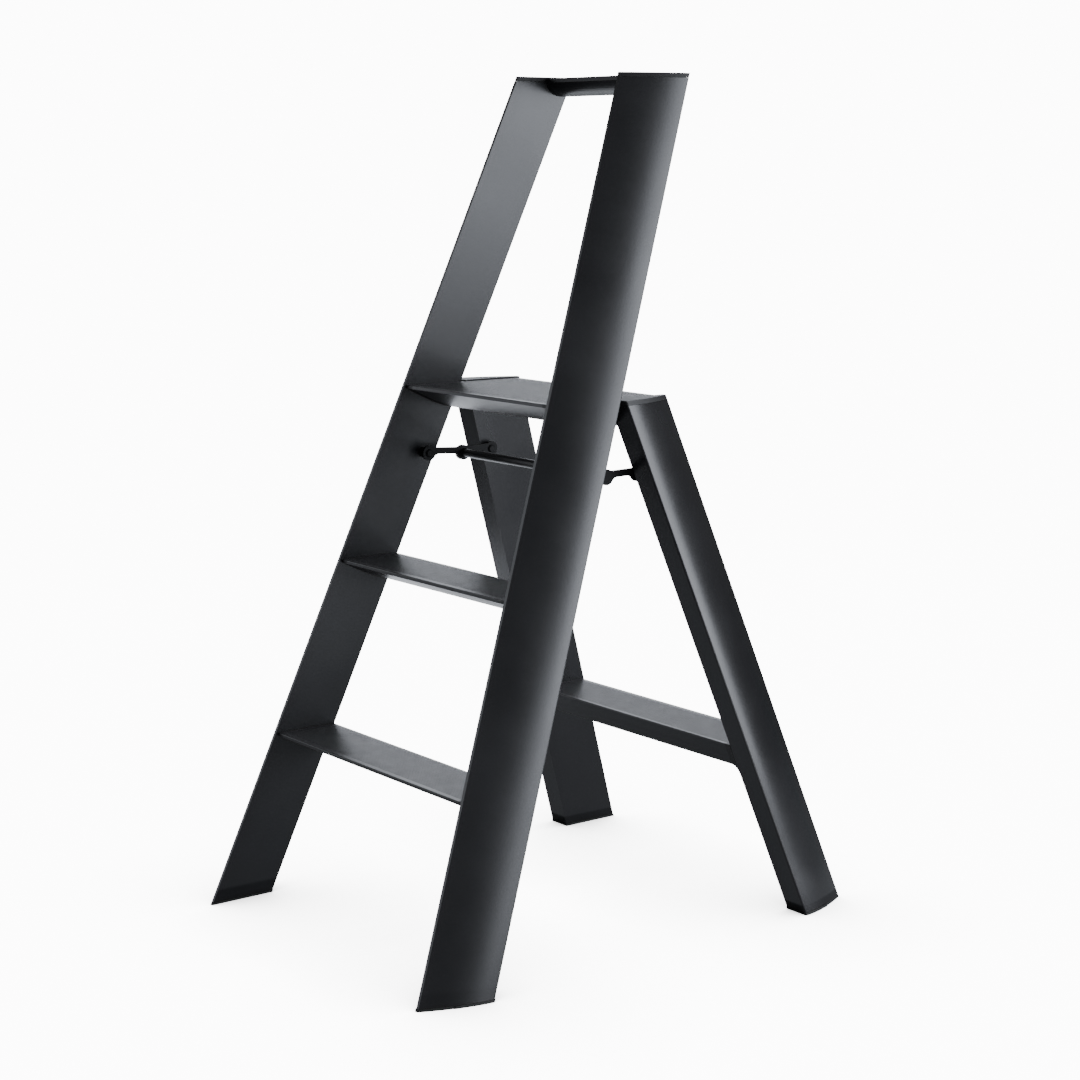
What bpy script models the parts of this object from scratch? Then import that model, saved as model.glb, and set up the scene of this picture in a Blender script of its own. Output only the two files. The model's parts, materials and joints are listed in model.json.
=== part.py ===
"""Folding three-step stepladder with a tall handrail, standing open.

The front frame carries two treads, the platform and the handle bar. The rear
frame turns on two pins under the sides of the platform, and a folding brace on
each side, joined by a release bar, holds the two frames apart.
Metres, +Z up, +Y to the back, +X to the right. The origin is on the floor under
the middle of the open ladder.
"""
import math

import bmesh
import bpy
from mathutils import Vector

# Driving dimensions -------------------------------------------------------
RISE = 0.240                 # from the floor to a tread, and from tread to tread
HEIGHT = 1.1418              # floor to the top of the front rails
SPLAY = 0.125                # each side leans in by this much per metre of height
GAP = 0.0003                 # clearance between pieces that touch

RAIL_HALF_WIDTH = 0.2505     # centre plane to the rail's inner face, at the floor
RAIL_LEAN = 0.3757           # backward shift per metre of height
RAIL_DEPTH = 0.0962          # level depth of the rail, front to back
RAIL_THICK = 0.034           # thickness at its flat back
RAIL_EDGE = 0.005            # thickness at its thin front edge

LEG_HALF_WIDTH = 0.2483
LEG_FOOT_Y = 0.6295          # from the rail's foot to the front of the leg's foot
LEG_LEAN = 0.3541            # forward shift per metre of height
LEG_DEPTH = 0.0945
LEG_THICK = 0.037            # thickness at its flat front
LEG_EDGE = 0.006             # thickness at its thin back edge

WALL = 0.0016                # wall of the rails, legs and treads
SECTION_POWER = 1.6          # how full the curved sides of rails and legs are
HULL_POWER = 1.33            # how full the undersides of the treads are
CORNER = 0.0025              # round at the back of the rails and the front of the legs
CURVE_STEPS = 16
SIDE_STEPS = 36              # finer, for the long reflections on rails and legs
CORNER_STEPS = 4

DEPTH = LEG_FOOT_Y + LEG_DEPTH
FLOOR_Y = -DEPTH / 2         # the front edge of the front feet

FOOT_HEIGHT = 0.0035         # rubber seen under the rails and legs
CAP_HEIGHT = 0.006           # plastic seen over the rails
PLUG_LENGTH = 0.016          # how far a cap or foot reaches into its tube
FOOT_LIP = 0.0006            # the foot stands out from the tube by this much

PLATFORM_Z = 3 * RISE
HEAD_RISE = 0.0018           # the leg heads stand above the platform by this much
TREAD_SETBACK = 0.004        # from the rails' front edge to a tread's
TREAD_DROP = 0.035           # depth of a tread at its back
TREAD_NOSE = 0.0045          # height of a tread's thin front edge
CROSS_TOP = 0.2422           # top of the rear cross member
CROSS_DROP = 0.0302
REAR_SETBACK = 0.0035        # from the legs' thin back edge to the cross member's
END_THICK = 0.010            # the moulded end pieces of the treads
PAD_THICK = 0.0016           # the ribbed insert in a tread's top
PAD_MARGIN_FRONT = 0.009
PAD_MARGIN_BACK = 0.006
RIB_PITCH = 0.0030
RIB_HEIGHT = 0.0003

HINGE_Z = 0.708              # the pins that the rear frame turns on
HINGE_SETBACK = 0.0165       # behind the front face of the leg
HINGE_RADIUS = 0.004

BRACE_PIVOTS = {             # setback from the front of the feet, and height
    "front": (0.3092, 0.6228),
    "middle": (0.3690, 0.6192),
    "back": (0.4202, 0.6204),
}
LINK_THICK = 0.0036
FRONT_LINK_X = 0.1562        # inner face of the front links
REAR_LINK_X = 0.1604
EYE_RADIUS = 0.0106
ARM_TOP = 0.0078             # the arm of a link runs between these, above its pivots
ARM_LOW = -0.0014
PIVOT_RADIUS = 0.003
BAR_RADIUS = 0.00625         # the release bar

HANDLE_SETBACK = 0.049       # from the rail's front edge to the bar's nose
HANDLE_BELOW = 0.0016        # its top below the top of the rails
HANDLE_DROP = 0.0245         # its height at the back
HANDLE_NOSE = 0.0060
HANDLE_POWER = 3.8

SIDES = {"left": -1, "right": 1}


# Where the sloping members run --------------------------------------------
def rail_y(z):
    return FLOOR_Y + RAIL_LEAN * z


def rail_x(z):
    return RAIL_HALF_WIDTH - SPLAY * z


def leg_y(z):
    return FLOOR_Y + LEG_FOOT_Y - LEG_LEAN * z


def leg_x(z):
    return LEG_HALF_WIDTH - SPLAY * z


HINGE_Y = leg_y(HINGE_Z) + HINGE_SETBACK
TREAD_DEPTH = RAIL_DEPTH - TREAD_SETBACK - GAP
PLATFORM_HULL = TREAD_DEPTH - RAIL_LEAN * TREAD_DROP
CROSS_DEPTH = LEG_DEPTH - REAR_SETBACK
BRACE_FRONT, BRACE_MIDDLE, BRACE_BACK = [(FLOOR_Y + BRACE_PIVOTS[place][0], BRACE_PIVOTS[place][1])
                                         for place in ("front", "middle", "back")]


# Scene and materials ------------------------------------------------------
def clear_scene():
    for obj in list(bpy.data.objects):
        bpy.data.objects.remove(obj, do_unlink=True)


def make_material(name, color, roughness, metallic):
    material = bpy.data.materials.new(name)
    material.use_nodes = True
    shader = material.node_tree.nodes["Principled BSDF"]
    shader.inputs["Base Color"].default_value = (*color, 1.0)
    shader.inputs["Roughness"].default_value = roughness
    shader.inputs["Metallic"].default_value = metallic
    return material


def make_pivot(name, y, z):
    """An empty on a joint's axis, which the pieces of that body hang from."""
    empty = bpy.data.objects.new(name, None)
    empty.location = (0.0, y, z)
    bpy.context.scene.collection.objects.link(empty)
    return empty


def add_object(name, bm, material, parent=None):
    """Close the mesh with outward faces and hang it from its body's pivot."""
    origin = Vector(parent.location) if parent else Vector((0.0, 0.0, 0.0))
    for vert in bm.verts:
        vert.co -= origin
    bmesh.ops.recalc_face_normals(bm, faces=bm.faces)
    mesh = bpy.data.meshes.new(name)
    bm.to_mesh(mesh)
    bm.free()
    mesh.shade_smooth()
    mesh.set_sharp_from_angle(angle=math.radians(28))
    mesh.materials.append(material)
    obj = bpy.data.objects.new(name, mesh)
    bpy.context.scene.collection.objects.link(obj)
    obj.parent = parent
    return obj


def combine(target, tool, operation):
    """Join a piece with another shape, or cut the shape out of it."""
    modifier = target.modifiers.new(tool.name, "BOOLEAN")
    modifier.operation = operation
    modifier.object = tool
    tool.hide_render = True
    tool.display_type = "WIRE"
    tool.parent = target.parent


# Shape helpers ------------------------------------------------------------
def fill_loops(bm, loops):
    """Close one end: a plain face, or a face with holes in it."""
    if len(loops) == 1:
        bm.faces.new(loops[0])
        return
    edges = []
    for loop in loops:
        for a, b in zip(loop, loop[1:] + loop[:1]):
            edges.append(bm.edges.get((a, b)) or bm.edges.new((a, b)))
    bmesh.ops.triangle_fill(bm, edges=edges, use_beauty=True, use_dissolve=False)


def sweep(start_loops, end_loops):
    """A solid between two ends. The first loop is the outline, others are holes."""
    bm = bmesh.new()
    starts = []
    ends = []
    for first, last in zip(start_loops, end_loops):
        a = [bm.verts.new(point) for point in first]
        b = [bm.verts.new(point) for point in last]
        for i in range(len(a)):
            j = (i + 1) % len(a)
            bm.faces.new((a[i], a[j], b[j], b[i]))
        starts.append(a)
        ends.append(b)
    fill_loops(bm, starts)
    fill_loops(bm, ends)
    return bm


def sweep_x(profiles, low_x, high_x):
    """Sweep profiles of (y, z) along X, between two faces given as x(y, z)."""
    start = [[(low_x(y, z), y, z) for y, z in loop] for loop in profiles]
    end = [[(high_x(y, z), y, z) for y, z in loop] for loop in profiles]
    return sweep(start, end)


def turned(profile, side, y, z, segments=20):
    """Turn a profile of (x, radius) about the line along X through (y, z)."""
    bm = bmesh.new()
    rings = []
    for x, radius in profile:
        if radius == 0.0:
            rings.append([bm.verts.new((side * x, y, z))])
            continue
        ring = []
        for i in range(segments):
            angle = 2 * math.pi * i / segments
            ring.append(bm.verts.new((side * x, y + radius * math.cos(angle),
                                      z + radius * math.sin(angle))))
        rings.append(ring)
    for a, b in zip(rings, rings[1:]):
        for i in range(segments):
            j = (i + 1) % segments
            corners = [a[i % len(a)], a[j % len(a)], b[j % len(b)], b[i % len(b)]]
            bm.faces.new(list(dict.fromkeys(corners)))
    return bm


def bulge(share, power=SECTION_POWER):
    """Rises from 0 to 1 and flattens out, for the curved sides and undersides."""
    return 1.0 - (1.0 - share) ** power


def shares(first=0.0, last=1.0, steps=CURVE_STEPS):
    return [first + (last - first) * i / steps for i in range(steps + 1)]


# Rails and legs -----------------------------------------------------------
def member_section(edge, thick, depth, inset=0.0, start=0.0, steps=SIDE_STEPS):
    """Half of a lens, as (thickness, setback) from the thin edge to the flat one."""
    points = [(inset, start * depth)]
    corner_start = depth - inset - CORNER
    for share in shares(start, corner_start / depth, steps):
        thickness = edge + (thick - edge) * bulge(share)
        points.append((thickness - inset, share * depth))
    corner_out = points.pop()[0] - CORNER
    for turn in shares(0.0, math.pi / 2, CORNER_STEPS):
        points.append((corner_out + CORNER * math.cos(turn), corner_start + CORNER * math.sin(turn)))
    return points + [(inset, depth - inset)]


def grow(section, amount):
    """Move an outline out by a small amount, for lips and clearances."""
    cx = sum(p[0] for p in section) / len(section)
    cy = sum(p[1] for p in section) / len(section)
    grown = []
    for t, u in section:
        grown.append((t + math.copysign(amount, t - cx), u + math.copysign(amount, u - cy)))
    return grown


def rail_loop(section, z, side):
    return [(side * (rail_x(z) + t), rail_y(z) + u, z) for t, u in section]


def leg_loop(section, z, side):
    return [(side * (leg_x(z) + t), leg_y(z) + LEG_DEPTH - u, z) for t, u in section]


RAIL_OUTER = member_section(RAIL_EDGE, RAIL_THICK, RAIL_DEPTH)
RAIL_INNER = member_section(RAIL_EDGE, RAIL_THICK, RAIL_DEPTH, WALL, 0.10, CURVE_STEPS)
RAIL_PLUG = member_section(RAIL_EDGE, RAIL_THICK, RAIL_DEPTH, WALL + GAP, 0.13)
LEG_OUTER = member_section(LEG_EDGE, LEG_THICK, LEG_DEPTH)
LEG_INNER = member_section(LEG_EDGE, LEG_THICK, LEG_DEPTH, WALL, 0.10, CURVE_STEPS)
LEG_PLUG = member_section(LEG_EDGE, LEG_THICK, LEG_DEPTH, WALL + GAP, 0.13)


def member_tube(name, loop, sections, low, high, side, material, parent=None):
    start = [loop(section, low, side) for section in sections]
    end = [loop(section, high, side) for section in sections]
    return add_object(name, sweep(start, end), material, parent)


def end_piece(loop, outline, plug, face_z, shoulder_z, plug_z, side):
    """A cap or foot: a plate with the tube's outline, and a plug into the tube."""
    levels = [(outline, face_z), (outline, shoulder_z), (plug, shoulder_z), (plug, plug_z)]
    bm = bmesh.new()
    rings = [[bm.verts.new(p) for p in loop(section, z, side)] for section, z in levels]
    for a, b in zip(rings, rings[1:]):
        for i in range(len(a)):
            j = (i + 1) % len(a)
            bm.faces.new((a[i], a[j], b[j], b[i]))
    bm.faces.new(rings[0])
    bm.faces.new(rings[-1])
    return bm


def build_front_rails(paint, plastic, rubber):
    top = HEIGHT - CAP_HEIGHT
    for word, side in SIDES.items():
        member_tube("front_rail_" + word, rail_loop, (RAIL_OUTER, RAIL_INNER),
                    FOOT_HEIGHT + GAP, top - GAP, side, paint)
        cap = end_piece(rail_loop, RAIL_OUTER, RAIL_PLUG, HEIGHT, top, top - PLUG_LENGTH, side)
        add_object("rail_cap_" + word, cap, plastic)
        foot = end_piece(rail_loop, grow(RAIL_OUTER, FOOT_LIP), RAIL_PLUG,
                         0.0, FOOT_HEIGHT, FOOT_HEIGHT + PLUG_LENGTH, side)
        add_object("front_foot_" + word, foot, rubber)


def build_rear_legs(paint, moulding, rubber, pivot):
    top = PLATFORM_Z + HEAD_RISE
    shoulder = top - CAP_HEIGHT
    for word, side in SIDES.items():
        leg = member_tube("rear_leg_" + word, leg_loop, (LEG_OUTER, LEG_INNER),
                          FOOT_HEIGHT + GAP, shoulder - GAP, side, paint, pivot)
        head = add_object("leg_head_" + word,
                          end_piece(leg_loop, LEG_OUTER, LEG_PLUG, top, shoulder,
                                    shoulder - 0.030, side), moulding, pivot)
        foot = end_piece(leg_loop, grow(LEG_OUTER, FOOT_LIP), LEG_PLUG,
                         0.0, FOOT_HEIGHT, FOOT_HEIGHT + PLUG_LENGTH, side)
        add_object("rear_foot_" + word, foot, rubber, pivot)
        for piece in (leg, head):
            bore = turned([(0.150, 0.0), (0.150, HINGE_RADIUS + GAP),
                           (0.187, HINGE_RADIUS + GAP), (0.187, 0.0)], side, HINGE_Y, HINGE_Z)
            cutter = add_object("bore_" + piece.name, bore, moulding, pivot)
            combine(piece, cutter, "DIFFERENCE")


# Treads -------------------------------------------------------------------
def hull(length, drop, nose=TREAD_NOSE, power=HULL_POWER, first=0.0, last=1.0, lift=0.0):
    """The curved underside, from the thin nose to the deep side."""
    points = []
    for share in shares(first, last):
        points.append((share * length, lift - nose - (drop - nose) * bulge(share, power)))
    return points


def top_edge(y, direction, radius=0.0012):
    """A small round between a tread's top and its end face."""
    low = (y, -radius)
    middle = (y + direction * radius * 0.3, -radius * 0.3)
    high = (y + direction * radius, 0.0)
    return [low, middle, high]


def seat(front, back):
    """The shallow recess that holds the ribbed insert, from back to front."""
    floor = -PAD_THICK
    return [(back, 0.0), (back, floor), (front, floor), (front, 0.0)]


def tread_outline(depth, lean, drop, with_seat=True):
    """Nose at y = 0 and deep at the back, which follows the rail's back face."""
    bottom = hull(depth - lean * drop, drop)
    back = [(depth - lean * drop * (1 - share), -drop * (1 - share)) for share in (0.5,)]
    outline = bottom + back + top_edge(depth, -1)
    if with_seat:
        outline += seat(PAD_MARGIN_FRONT, depth - PAD_MARGIN_BACK)
    return outline + top_edge(0.0, 1)[::-1]


def tread_hollow(depth, lean, drop):
    """The inside of the tread's tube, a wall's thickness inside its outline."""
    first = 0.20
    length = depth - lean * drop
    points = hull(length, drop, first=first, last=0.95, lift=WALL * 1.15)
    roof = -PAD_THICK - WALL
    back = depth - WALL * 1.3
    return points + [(back + lean * roof, roof), (first * length, roof)]


def platform_outline(depth, with_seat=True):
    """Two treads back to back: a thin nose in front and behind."""
    front = hull(PLATFORM_HULL, TREAD_DROP)
    back = [(depth - y, z) for y, z in front][::-1]
    outline = front + back + top_edge(depth, -1)
    if with_seat:
        outline += seat(PAD_MARGIN_FRONT, depth - PAD_MARGIN_FRONT)
    return outline + top_edge(0.0, 1)[::-1]


def platform_hollow(depth):
    front = hull(PLATFORM_HULL, TREAD_DROP, first=0.20, lift=WALL * 1.15)
    back = [(depth - y, z) for y, z in front][::-1]
    roof = -PAD_THICK - WALL
    return front + back + [(back[-1][0], roof), (front[0][0], roof)]


def cross_outline(with_seat=True):
    """A tread turned round: deep in front, thin behind."""
    forward = tread_outline(CROSS_DEPTH, LEG_LEAN, CROSS_DROP, with_seat)
    return [(CROSS_DEPTH - y, z) for y, z in forward][::-1]


def cross_hollow():
    return [(CROSS_DEPTH - y, z) for y, z in tread_hollow(CROSS_DEPTH, LEG_LEAN, CROSS_DROP)][::-1]


def pad_profile(front, back):
    """The ribbed insert: flat below, ribs along the tread above."""
    floor = -PAD_THICK + GAP
    rib_top = RIB_HEIGHT * 0.5
    rib_foot = rib_top - RIB_HEIGHT
    count = int((back - front) / RIB_PITCH)
    pitch = (back - front) / count
    points = [(front, floor), (front, rib_foot)]
    for i in range(count):
        y = front + i * pitch
        points += [(y + 0.22 * pitch, rib_foot), (y + 0.36 * pitch, rib_top),
                   (y + 0.78 * pitch, rib_top), (y + 0.92 * pitch, rib_foot)]
    points += [(back, rib_foot), (back, floor)]
    return points[::-1]


def moved(profile, y0, z0):
    return [(y + y0, z + z0) for y, z in profile]


def side_faces(inner_x, offset):
    """The pair of faces x(y, z) that end a tread, parallel to its side members."""
    return (lambda y, z: -(inner_x(z) - offset)), (lambda y, z: inner_x(z) - offset)


def build_step(name, outline, hollow, plain, pad, place, inner_x, materials, parent=None):
    """A tread's tube, its ribbed insert, and a moulded piece at each end."""
    paint, moulding, grip = materials
    low, high = side_faces(inner_x, END_THICK + 2 * GAP)
    tube = sweep_x((moved(outline, *place), moved(hollow, *place)), low, high)
    add_object(name, tube, paint, parent)
    low, high = side_faces(inner_x, END_THICK + 3 * GAP)
    add_object(name + "_pad", sweep_x((moved(pad, *place),), low, high), grip, parent)
    ends = {}
    for word, side in SIDES.items():
        def near(y, z, side=side):
            return side * (inner_x(z) - END_THICK - GAP)

        def far(y, z, side=side):
            return side * (inner_x(z) - GAP)
        end = sweep_x((moved(plain, *place),), near, far)
        ends[word] = add_object(name + "_end_" + word, end, moulding, parent)
    return ends


def build_treads(materials):
    outline = tread_outline(TREAD_DEPTH, RAIL_LEAN, TREAD_DROP)
    plain = tread_outline(TREAD_DEPTH, RAIL_LEAN, TREAD_DROP, with_seat=False)
    hollow = tread_hollow(TREAD_DEPTH, RAIL_LEAN, TREAD_DROP)
    pad = pad_profile(PAD_MARGIN_FRONT + GAP, TREAD_DEPTH - PAD_MARGIN_BACK - GAP)
    for name, z in (("tread_lower", RISE), ("tread_middle", 2 * RISE)):
        place = (rail_y(z) + TREAD_SETBACK, z)
        build_step(name, outline, hollow, plain, pad, place, rail_x, materials)


def build_platform(materials):
    """Its end pieces carry the pins of the rear frame beside its back half."""
    paint, moulding, grip = materials
    front = rail_y(PLATFORM_Z) + TREAD_SETBACK
    depth = leg_y(PLATFORM_Z) + CROSS_DEPTH - front
    place = (front, PLATFORM_Z)
    side_x = leg_x(PLATFORM_Z) - 0.0008
    inner = side_x - END_THICK

    def flat(x):
        return lambda y, z: x
    tube = sweep_x((moved(platform_outline(depth), *place), moved(platform_hollow(depth), *place)),
                   flat(-inner + GAP), flat(inner - GAP))
    add_object("platform", tube, paint)
    pad = pad_profile(PAD_MARGIN_FRONT + GAP, depth - PAD_MARGIN_FRONT - GAP)
    add_object("platform_pad", sweep_x((moved(pad, *place),), flat(-inner + 2 * GAP),
                                       flat(inner - 2 * GAP)), grip)
    plain = platform_outline(depth, with_seat=False)
    wedge = tread_outline(TREAD_DEPTH - 0.001, RAIL_LEAN, TREAD_DROP - 0.0002, with_seat=False)
    for word, side in SIDES.items():
        plate = sweep_x((moved(plain, *place),), flat(side * inner), flat(side * side_x))
        end = add_object("platform_end_" + word, plate, moulding)

        def rail_side(y, z, side=side):
            return side * (rail_x(z) - GAP)
        block = sweep_x((moved(wedge, *place),), flat(side * (inner + 0.004)), rail_side)
        combine(end, add_object("seat_" + word, block, moulding), "UNION")
        bore = turned([(inner - 0.002, 0.0), (inner - 0.002, HINGE_RADIUS + GAP),
                       (side_x + 0.002, HINGE_RADIUS + GAP), (side_x + 0.002, 0.0)],
                      side, HINGE_Y, HINGE_Z)
        combine(end, add_object("end_bore_" + word, bore, moulding), "DIFFERENCE")
        pin = turned([(inner + 0.0005, 0.0), (inner + 0.0005, HINGE_RADIUS),
                      (0.1865, HINGE_RADIUS), (0.1865, 0.0)], side, HINGE_Y, HINGE_Z)
        add_object("hinge_pin_" + word, pin, paint)


def build_cross_member(materials, pivot):
    """Its ends run down the legs in a small fillet, flush with their front faces."""
    moulding = materials[1]
    place = (leg_y(CROSS_TOP), CROSS_TOP)
    pad = pad_profile(PAD_MARGIN_BACK + GAP, CROSS_DEPTH - PAD_MARGIN_FRONT - GAP)
    ends = build_step("cross_member", cross_outline(), cross_hollow(), cross_outline(False), pad,
                      place, leg_x, materials, pivot)
    radius = 0.012
    skin = 0.0045
    low = CROSS_TOP - CROSS_DROP
    for word, side in SIDES.items():
        start = leg_x(low) - END_THICK
        points = [(start, low + 0.006), (start, low)]
        for i in range(9):
            angle = math.pi / 2 * i / 8
            z = low - radius * (1 - math.cos(angle))
            points.append((leg_x(z) - GAP - radius * (1 - math.sin(angle)) * 0.8, z))
        points.append((leg_x(low + 0.006) - GAP, low + 0.006))
        face = [(side * x, leg_y(z), z) for x, z in points]
        back = [(side * x, leg_y(z) + skin, z) for x, z in points]
        fillet = add_object("fillet_" + word, sweep((face,), (back,)), moulding, pivot)
        combine(ends[word], fillet, "UNION")


# Handle bar ---------------------------------------------------------------
def handle_outline(inset=0.0):
    """A small tread with a blunt nose: flat on top, with a round front and underside."""
    depth = RAIL_DEPTH - HANDLE_SETBACK - GAP
    length = depth - RAIL_LEAN * HANDLE_DROP
    outline = []
    for y, z in hull(length, HANDLE_DROP, HANDLE_NOSE, HANDLE_POWER):
        share = y / length
        outline.append((y + inset * (1 - share) ** 2, z + inset * min(1.0, 0.35 + 2.2 * share)))
    back = outline[-1][0] + RAIL_LEAN * (HANDLE_DROP - inset)
    outline[-1] = (outline[-1][0] - inset, outline[-1][1])
    outline += [(back - inset, -inset - 0.0012), (back - inset - 0.0012, -inset)]
    return outline + [(0.0025 + inset, -inset), (0.0007 + inset, -inset - 0.0012)]


def build_handle(paint, plastic):
    z = HEIGHT - HANDLE_BELOW
    place = (rail_y(z) + HANDLE_SETBACK, z)
    outer = moved(handle_outline(), *place)
    inner = moved(handle_outline(WALL), *place)
    plug = moved(handle_outline(WALL + GAP), *place)
    low, high = side_faces(rail_x, GAP)
    add_object("handle_bar", sweep_x((outer, inner), low, high), paint)
    for word, side in SIDES.items():
        def near(y, z, side=side):
            return side * (rail_x(z) - 0.018)

        def far(y, z, side=side):
            return side * (rail_x(z) - 2 * GAP)
        add_object("handle_plug_" + word, sweep_x((plug,), near, far), plastic)


# Folding brace ------------------------------------------------------------
def link_outline(length, arm_top, arm_low):
    """A flat link with a round eye at each end, as (y, z) from its first eye."""
    points = []
    blend = 0.0045

    def eye(centre, start, stop, steps=14):
        for share in shares(0.0, 1.0, steps):
            angle = start + (stop - start) * share
            points.append((centre + EYE_RADIUS * math.cos(angle), EYE_RADIUS * math.sin(angle)))
    top = math.asin(arm_top / EYE_RADIUS)
    low = math.asin(arm_low / EYE_RADIUS)
    dip = math.radians(16)
    eye(0.0, 2 * math.pi + low - dip, top)
    eye(length, math.pi - top, -math.pi - low + dip)
    edge = EYE_RADIUS * math.cos(low)
    points.append((length - edge - blend * 0.35, arm_low - 0.0012))
    points.append((length - edge - blend, arm_low))
    points.append((edge + blend, arm_low))
    points.append((edge + blend * 0.35, arm_low - 0.0012))
    return points


def placed_link(outline, start, end):
    """Turn and move a link so that its two eyes lie on two pivots."""
    angle = math.atan2(end[1] - start[1], end[0] - start[0])
    flip = -1 if end[0] < start[0] else 1
    points = []
    for along, across in outline:
        across *= flip
        points.append((start[0] + along * math.cos(angle) - across * math.sin(angle),
                       start[1] + along * math.sin(angle) + across * math.cos(angle)))
    return points


def build_link(name, start, end, inner_x, side, material, holes, parent):
    length = math.dist(start, end)
    outline = placed_link(link_outline(length, ARM_TOP, ARM_LOW), start, end)

    def face(x):
        return lambda y, z: side * x
    bm = sweep_x((outline,), face(inner_x), face(inner_x + LINK_THICK))
    link = add_object(name, bm, material, parent)
    for i, (y, z) in enumerate(holes):
        bore = turned([(inner_x - 0.001, 0.0), (inner_x - 0.001, PIVOT_RADIUS + GAP),
                       (inner_x + LINK_THICK + 0.001, PIVOT_RADIUS + GAP),
                       (inner_x + LINK_THICK + 0.001, 0.0)], side, y, z)
        combine(link, add_object("%s_hole_%d" % (name, i), bore, material, parent), "DIFFERENCE")


def build_stud(name, word, side, pivot_point, inner_x, wall_x, materials, parent):
    """The boss on a rail or leg, and the headed pin that the link turns on."""
    steel, moulding = materials
    y, z = pivot_point
    link_back = inner_x + LINK_THICK + GAP
    bore = PIVOT_RADIUS + GAP
    slope = SPLAY * 0.0075
    base = wall_x(z) - GAP - slope
    boss = turned([(base, 0.0), (base, 0.0075), (link_back + 0.002, 0.0075),
                   (link_back, 0.0062), (link_back, bore), (base - 0.0015, bore),
                   (base - 0.0015, 0.0)], side, y, z)
    add_object("%s_boss_%s" % (name, word), boss, moulding, parent)
    head = inner_x - GAP
    pin = turned([(head - 0.0022, 0.0), (head - 0.0022, 0.0042), (head - 0.0012, 0.0056),
                  (head, 0.0056), (head, PIVOT_RADIUS), (base - 0.0019, PIVOT_RADIUS),
                  (base - 0.0019, 0.0)], side, y, z)
    add_object("%s_pin_%s" % (name, word), pin, steel, parent)


def build_brace(paint, steel, moulding, rear, front_swing, rear_swing):
    for word, side in SIDES.items():
        build_link("brace_front_" + word, BRACE_FRONT, BRACE_MIDDLE, FRONT_LINK_X, side,
                   paint, (BRACE_FRONT, BRACE_MIDDLE), front_swing)
        build_link("brace_rear_" + word, BRACE_BACK, BRACE_MIDDLE, REAR_LINK_X, side,
                   paint, (BRACE_BACK,), rear_swing)
        build_stud("brace_front", word, side, BRACE_FRONT, FRONT_LINK_X, rail_x,
                   (steel, moulding), None)
        build_stud("brace_rear", word, side, BRACE_BACK, REAR_LINK_X, leg_x,
                   (steel, moulding), rear)
        y, z = BRACE_MIDDLE
        start = FRONT_LINK_X - GAP
        pin = turned([(start - 0.016, 0.0), (start - 0.016, BAR_RADIUS - 0.0018),
                      (start, BAR_RADIUS - 0.0018), (start, PIVOT_RADIUS),
                      (FRONT_LINK_X + LINK_THICK - GAP, PIVOT_RADIUS),
                      (FRONT_LINK_X + LINK_THICK - GAP, 0.0)], side, y, z)
        add_object("bar_pin_" + word, pin, steel, front_swing)
    y, z = BRACE_MIDDLE
    end = FRONT_LINK_X - GAP
    segments = 24
    circle = [(math.cos(2 * math.pi * i / segments), math.sin(2 * math.pi * i / segments))
              for i in range(segments)]
    outer = [(y + BAR_RADIUS * c, z + BAR_RADIUS * s) for c, s in circle]
    bore = [(y + (BAR_RADIUS - 0.0015) * c, z + (BAR_RADIUS - 0.0015) * s) for c, s in circle]
    bar = sweep_x((outer, bore), lambda y, z: -end, lambda y, z: end)
    add_object("release_bar", bar, paint, front_swing)


def main():
    clear_scene()
    paint = make_material("black_aluminium", (0.018, 0.018, 0.020), 0.32, 0.6)
    moulding = make_material("black_moulding", (0.018, 0.018, 0.019), 0.45, 0.0)
    plastic = make_material("black_plastic", (0.015, 0.015, 0.016), 0.45, 0.0)
    rubber = make_material("black_rubber", (0.012, 0.012, 0.012), 0.75, 0.0)
    grip = make_material("grey_grip", (0.10, 0.10, 0.11), 0.55, 0.0)
    steel = make_material("dark_steel", (0.05, 0.05, 0.05), 0.35, 1.0)
    rear = make_pivot("rear_frame_pivot", HINGE_Y, HINGE_Z)
    front_swing = make_pivot("brace_front_pivot", *BRACE_FRONT)
    rear_swing = make_pivot("brace_rear_pivot", *BRACE_BACK)
    step_materials = (paint, moulding, grip)
    build_front_rails(paint, plastic, rubber)
    build_treads(step_materials)
    build_platform(step_materials)
    build_handle(paint, plastic)
    build_rear_legs(paint, moulding, rubber, rear)
    build_cross_member(step_materials, rear)
    build_brace(paint, steel, moulding, rear, front_swing, rear_swing)


main()
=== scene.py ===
"""Looks for the folding stepladder: finishes, soft studio light, floor and camera."""
import json
import math

import bpy
from mathutils import Matrix, Vector

# Camera, as the photograph was taken
CAMERA_AT = (2.423, -1.8448, 1.030)
CAMERA_YAW = 52.38            # degrees, turned from +Y towards -X
CAMERA_PITCH = 9.60           # degrees below the horizon
CAMERA_ROLL = 0.078           # turned about the line of sight
LENS_MM = 75.15
SENSOR_MM = 36.0
VIEW_DISTANCE = 60.0          # nothing past this is drawn

# Light
BACKGROUND = 12.0             # how white the backdrop looks
AMBIENT = 0.09                # what it casts on the ladder
FLOOR_HALF = 14.0             # the floor runs this far each way
FLOOR_BOUNCE = 0.20           # how pale the floor is to the ladder
FLOOR_ROUGHNESS = 0.8
FLOOR_SPECULAR = 0.1
CONTACT_REACH = 0.30          # how far the soft shadow round a foot reaches
CONTACT_POWER = 1.8           # how quickly it darkens towards the foot
LIGHT_TINT = (0.88, 0.92, 1.0)
LADDER_SIDE = (0.2, 0.0, 0.6)  # what the soft boxes are turned to
OVERHEAD = (0.2, 0.0, 50.0)   # what the reflectors on the floor are turned to
REFLECTOR_Z = 0.02

# Lean of the long members, as a shift along Y per metre of height
RAIL_LEAN = 0.3757
LEG_LEAN = -0.3541

# The part of a noise's output that most of it falls in
NOISE_LOW = 0.3
NOISE_HIGH = 0.7


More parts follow.
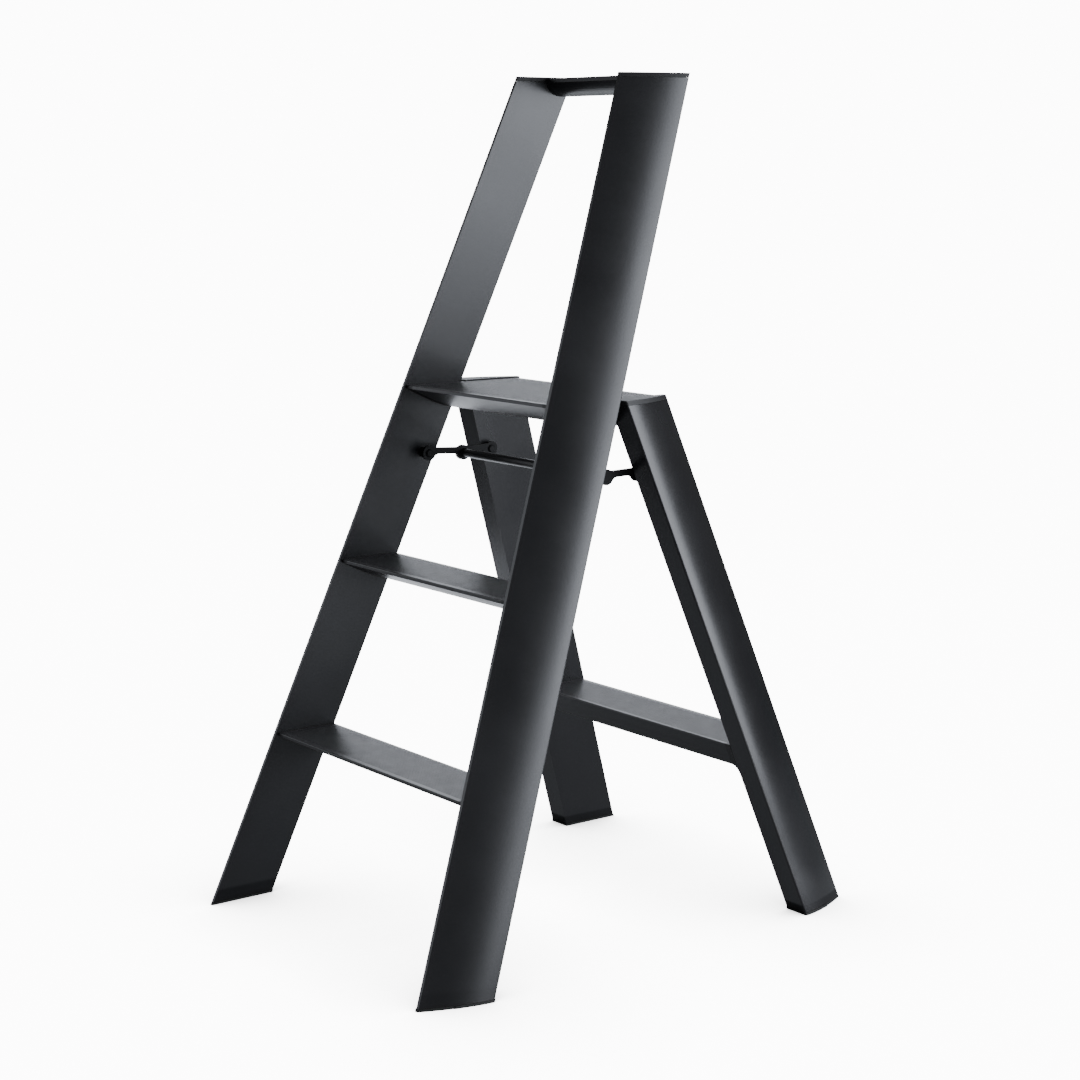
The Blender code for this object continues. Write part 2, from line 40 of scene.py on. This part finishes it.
# Materials ----------------------------------------------------------------
class Finish:
    """One procedural material: a Principled shader with nodes added around it."""

    def __init__(self, name, roughness, metallic=0.0, specular=0.5):
        self.material = bpy.data.materials.new(name)
        self.material.use_nodes = True
        self.nodes = self.material.node_tree.nodes
        self.links = self.material.node_tree.links
        self.shader = self.nodes["Principled BSDF"]
        self.shader.inputs["Roughness"].default_value = roughness
        self.shader.inputs["Metallic"].default_value = metallic
        self.shader.inputs["Specular IOR Level"].default_value = specular

    def place(self, stretch=(1.0, 1.0, 1.0), tilt=0.0):
        """Object coordinates, turned about X by the tilt and then stretched."""
        coordinates = self.nodes.new("ShaderNodeTexCoord")
        turn = self.nodes.new("ShaderNodeMapping")
        turn.inputs["Rotation"].default_value = (tilt, 0.0, 0.0)
        scale = self.nodes.new("ShaderNodeMapping")
        scale.inputs["Scale"].default_value = stretch
        self.links.new(coordinates.outputs["Object"], turn.inputs["Vector"])
        self.links.new(turn.outputs["Vector"], scale.inputs["Vector"])
        return scale.outputs["Vector"]

    def noise(self, scale, detail=2.0, stretch=(1.0, 1.0, 1.0), tilt=0.0):
        """Clouds or grain, with about this many features per metre."""
        node = self.nodes.new("ShaderNodeTexNoise")
        node.inputs["Scale"].default_value = scale
        node.inputs["Detail"].default_value = detail
        self.links.new(self.place(stretch, tilt), node.inputs["Vector"])
        return node.outputs["Fac"]

    def spots(self, scale):
        """Round grains, about this many per metre."""
        node = self.nodes.new("ShaderNodeTexVoronoi")
        node.inputs["Scale"].default_value = scale
        self.links.new(self.place(), node.inputs["Vector"])
        return node.outputs["Distance"]

    def spread(self, value, low, high):
        """Map a noise value onto a range of numbers."""
        node = self.nodes.new("ShaderNodeMapRange")
        node.inputs["From Min"].default_value = NOISE_LOW
        node.inputs["From Max"].default_value = NOISE_HIGH
        node.inputs["To Min"].default_value = low
        node.inputs["To Max"].default_value = high
        self.links.new(value, node.inputs["Value"])
        return node.outputs["Result"]

    def color(self, value, first, second, start=NOISE_LOW, end=NOISE_HIGH):
        """Colour the surface from the first colour to the second, by a noise value."""
        ramp = self.nodes.new("ShaderNodeValToRGB")
        ramp.color_ramp.elements[0].position = start
        ramp.color_ramp.elements[1].position = end
        ramp.color_ramp.elements[0].color = (*first, 1.0)
        ramp.color_ramp.elements[1].color = (*second, 1.0)
        self.links.new(value, ramp.inputs["Fac"])
        self.links.new(ramp.outputs["Color"], self.shader.inputs["Base Color"])

    def rough(self, value, low, high):
        """Vary the roughness by a noise value."""
        self.links.new(self.spread(value, low, high), self.shader.inputs["Roughness"])

    def bump(self, value, height, below=None):
        """Raise the surface by this height in metres, on top of another bump if given."""
        node = self.nodes.new("ShaderNodeBump")
        node.inputs["Distance"].default_value = height
        self.links.new(value, node.inputs["Height"])
        if below:
            self.links.new(below, node.inputs["Normal"])
        self.links.new(node.outputs["Normal"], self.shader.inputs["Normal"])
        return node.outputs["Normal"]


def make_anodised(name, along, tilt=0.0, roughness=0.30, specular=0.5):
    """Satin black anodised aluminium: faint drawing lines along the extrusion,
    a fine blasted grain, and slow changes in gloss."""
    finish = Finish(name, roughness, specular=specular)
    stretch = [1.0 if axis != along else 0.02 for axis in "xyz"]
    lines = finish.noise(420.0, 3.0, stretch, tilt)
    grain = finish.noise(2600.0, 1.0)
    clouds = finish.noise(7.0, 3.0)
    finish.color(clouds, (0.0075, 0.0075, 0.0083), (0.0115, 0.0115, 0.0125))
    finish.rough(clouds, roughness - 0.025, roughness + 0.035)
    normal = finish.bump(lines, 0.000012)
    finish.bump(grain, 0.000010, below=normal)
    return finish.material


def make_coated(name):
    """Matt black coating on the small pressed parts of the brace."""
    finish = Finish(name, 0.6, specular=0.15)
    skin = finish.noise(1300.0, 2.0)
    clouds = finish.noise(30.0, 3.0)
    finish.color(clouds, (0.003, 0.003, 0.0033), (0.006, 0.006, 0.0063))
    finish.rough(clouds, 0.55, 0.66)
    finish.bump(skin, 0.00002)
    return finish.material


def make_moulding():
    """Moulded nylon with a fine spark-eroded grain."""
    finish = Finish("black_moulding", 0.5, specular=0.45)
    grain = finish.spots(1100.0)
    clouds = finish.noise(16.0, 2.0)
    finish.color(clouds, (0.007, 0.007, 0.0075), (0.012, 0.012, 0.0125))
    finish.rough(clouds, 0.46, 0.56)
    finish.bump(grain, 0.00004)
    return finish.material


def make_plastic():
    """Smoother moulded plastic of the caps and plugs."""
    finish = Finish("black_plastic", 0.5, specular=0.3)
    grain = finish.noise(1500.0, 2.0)
    clouds = finish.noise(22.0, 2.0)
    finish.color(clouds, (0.005, 0.005, 0.0053), (0.009, 0.009, 0.0093))
    finish.rough(clouds, 0.45, 0.55)
    finish.bump(grain, 0.00003)
    return finish.material


def make_rubber():
    """Matt rubber, a little dusty, with a coarse skin."""
    finish = Finish("black_rubber", 0.6, specular=0.4)
    skin = finish.noise(700.0, 3.0)
    dust = finish.noise(40.0, 4.0)
    finish.color(dust, (0.006, 0.006, 0.006), (0.014, 0.0138, 0.0135), 0.4, 0.75)
    finish.rough(dust, 0.52, 0.68)
    finish.bump(skin, 0.00008)
    return finish.material


def make_grip():
    """Blasted, dark anodised insert whose ribs catch the light."""
    finish = Finish("grey_grip", 0.45, specular=0.5)
    grit = finish.spots(1400.0)
    clouds = finish.noise(60.0, 4.0)
    finish.color(grit, (0.019, 0.019, 0.0205), (0.014, 0.014, 0.015), 0.05, 0.6)
    finish.rough(clouds, 0.33, 0.38)
    finish.bump(grit, 0.00001)
    return finish.material


def make_steel():
    """Blackened steel with fine turning marks."""
    finish = Finish("dark_steel", 0.35, metallic=1.0)
    marks = finish.noise(900.0, 2.0, (0.05, 1.0, 1.0))
    clouds = finish.noise(120.0, 2.0)
    finish.color(clouds, (0.030, 0.030, 0.032), (0.060, 0.060, 0.064))
    finish.rough(clouds, 0.3, 0.42)
    finish.bump(marks, 0.00001)
    return finish.material


def dress(nodes):
    """Give every CAD node its finish, by the slot the record names for it."""
    rail = make_anodised("black_aluminium_rail", "z", math.atan(RAIL_LEAN))
    leg = make_anodised("black_aluminium_leg", "z", math.atan(LEG_LEAN), 0.26)
    level = make_anodised("black_aluminium_level", "x", roughness=0.36)
    handle = make_anodised("black_aluminium_handle", "x", roughness=0.36, specular=0.22)
    link = make_coated("black_coated_link")
    others = {
        "black_moulding": make_moulding(),
        "black_plastic": make_plastic(),
        "black_rubber": make_rubber(),
        "grey_grip": make_grip(),
        "dark_steel": make_steel(),
    }
    slots = {part["node"]: part["material_slot"] for part in frame["record"]["subparts"]}
    for name, obj in nodes.items():
        if name.startswith("front_rail"):
            finish = rail
        elif name.startswith("rear_leg"):
            finish = leg
        elif name == "handle_bar":
            finish = handle
        elif name.startswith("brace") or name.startswith("bar_pin"):
            finish = link
        else:
            finish = others.get(slots[name], level)
        for index in range(len(obj.material_slots)):
            obj.material_slots[index].material = finish


# Camera, light and floor --------------------------------------------------
def make_camera():
    """The photo's camera: yaw, then pitch, then roll about the line of sight."""
    camera = bpy.data.cameras.new("camera")
    camera.lens = LENS_MM
    camera.sensor_width = SENSOR_MM
    camera.clip_end = VIEW_DISTANCE
    turn = Matrix.Rotation(math.radians(CAMERA_YAW), 3, "Z")
    turn = turn @ Matrix.Rotation(math.radians(90 - CAMERA_PITCH), 3, "X")
    turn = turn @ Matrix.Rotation(math.radians(CAMERA_ROLL), 3, "Z")
    obj = bpy.data.objects.new("camera", camera)
    obj.location = CAMERA_AT
    obj.rotation_euler = turn.to_euler()
    bpy.context.scene.collection.objects.link(obj)
    bpy.context.scene.camera = obj


def make_softbox(name, azimuth, distance, height, size, power, aim=LADDER_SIDE):
    """A soft light at an azimuth counted from +X towards +Y."""
    light = bpy.data.lights.new(name, "AREA")
    light.shape = "RECTANGLE"
    light.size, light.size_y = size
    light.energy = power
    light.color = LIGHT_TINT
    obj = bpy.data.objects.new(name, light)
    angle = math.radians(azimuth)
    x = aim[0] + distance * math.cos(angle)
    y = aim[1] + distance * math.sin(angle)
    obj.location = (x, y, height)
    direction = Vector(aim) - obj.location
    obj.rotation_euler = direction.to_track_quat("-Z", "Y").to_euler()
    obj.visible_camera = False
    bpy.context.scene.collection.objects.link(obj)


def seen_or_cast(tree, seen, cast):
    """The first value where the camera looks straight at it, the second for other light."""
    path = tree.nodes.new("ShaderNodeLightPath")
    pick = tree.nodes.new("ShaderNodeMapRange")
    pick.inputs["To Min"].default_value = cast
    pick.inputs["To Max"].default_value = seen
    tree.links.new(path.outputs["Is Camera Ray"], pick.inputs["Value"])
    return pick.outputs["Result"]


def make_world():
    """A backdrop that is white to the camera and dim to the ladder."""
    world = bpy.data.worlds.new("studio")
    world.use_nodes = True
    tree = world.node_tree
    background = tree.nodes["Background"]
    background.inputs["Color"].default_value = (1.0, 1.0, 1.0, 1.0)
    strength = seen_or_cast(tree, BACKGROUND, AMBIENT)
    tree.links.new(strength, background.inputs["Strength"])
    bpy.context.scene.world = world


def make_floor():
    """A pale floor that melts into the backdrop, with soft contact shadows."""
    corners = [(x * FLOOR_HALF, y * FLOOR_HALF, 0) for x, y in ((-1, -1), (1, -1), (1, 1), (-1, 1))]
    mesh = bpy.data.meshes.new("floor")
    mesh.from_pydata(corners, [], [(0, 1, 2, 3)])
    floor = bpy.data.objects.new("floor", mesh)
    bpy.context.scene.collection.objects.link(floor)
    material = bpy.data.materials.new("floor_white")
    material.use_nodes = True
    tree = material.node_tree
    shader = tree.nodes["Principled BSDF"]
    shader.inputs["Base Color"].default_value = (FLOOR_BOUNCE, FLOOR_BOUNCE, FLOOR_BOUNCE, 1.0)
    shader.inputs["Roughness"].default_value = FLOOR_ROUGHNESS
    shader.inputs["Specular IOR Level"].default_value = FLOOR_SPECULAR
    shader.inputs["Emission Color"].default_value = (1.0, 1.0, 1.0, 1.0)
    glow = seen_or_cast(tree, BACKGROUND, 0.0)
    contact = tree.nodes.new("ShaderNodeAmbientOcclusion")
    contact.inputs["Distance"].default_value = CONTACT_REACH
    shade = tree.nodes.new("ShaderNodeMath")
    shade.operation = "POWER"
    shade.inputs[1].default_value = CONTACT_POWER
    dim = tree.nodes.new("ShaderNodeMath")
    dim.operation = "MULTIPLY"
    tree.links.new(contact.outputs["AO"], shade.inputs[0])
    tree.links.new(glow, dim.inputs[0])
    tree.links.new(shade.outputs["Value"], dim.inputs[1])
    tree.links.new(dim.outputs["Value"], shader.inputs["Emission Strength"])
    mesh.materials.append(material)


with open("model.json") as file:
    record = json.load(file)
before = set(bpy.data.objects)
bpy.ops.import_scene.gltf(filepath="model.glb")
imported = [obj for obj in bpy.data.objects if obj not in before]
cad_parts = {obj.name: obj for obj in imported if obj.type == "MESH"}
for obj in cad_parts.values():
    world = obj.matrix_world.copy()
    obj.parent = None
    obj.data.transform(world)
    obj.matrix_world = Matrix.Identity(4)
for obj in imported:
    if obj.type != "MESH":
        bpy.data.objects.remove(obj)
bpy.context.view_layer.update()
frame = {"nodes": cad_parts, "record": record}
dress(frame["nodes"])
make_camera()
make_world()
make_floor()
make_softbox("side_softbox", 40.0, 3.2, 1.2, (2.5, 2.4), 145.0)
make_softbox("low_softbox", 14.0, 3.2, 0.4, (1.0, 0.8), 13.0)
make_softbox("front_softbox", -44.0, 3.2, 1.5, (1.6, 1.8), 15.0)
make_softbox("left_softbox", 222.0, 3.0, 1.1, (2.4, 2.2), 24.0)
make_softbox("top_softbox", 60.0, 0.6, 3.2, (2.6, 2.6), 30.0)
make_softbox("back_softbox", 142.0, 3.0, 1.45, (2.2, 1.8), 33.0)
make_softbox("back_reflector", 148.0, 1.5, REFLECTOR_Z, (1.5, 1.5), 19.0, aim=OVERHEAD)
make_softbox("side_reflector", 23.0, 1.1, REFLECTOR_Z, (1.15, 1.4), 6.0, aim=OVERHEAD)
make_softbox("front_reflector", 250.0, 0.45, REFLECTOR_Z, (2.2, 2.2), 3.0, aim=OVERHEAD)
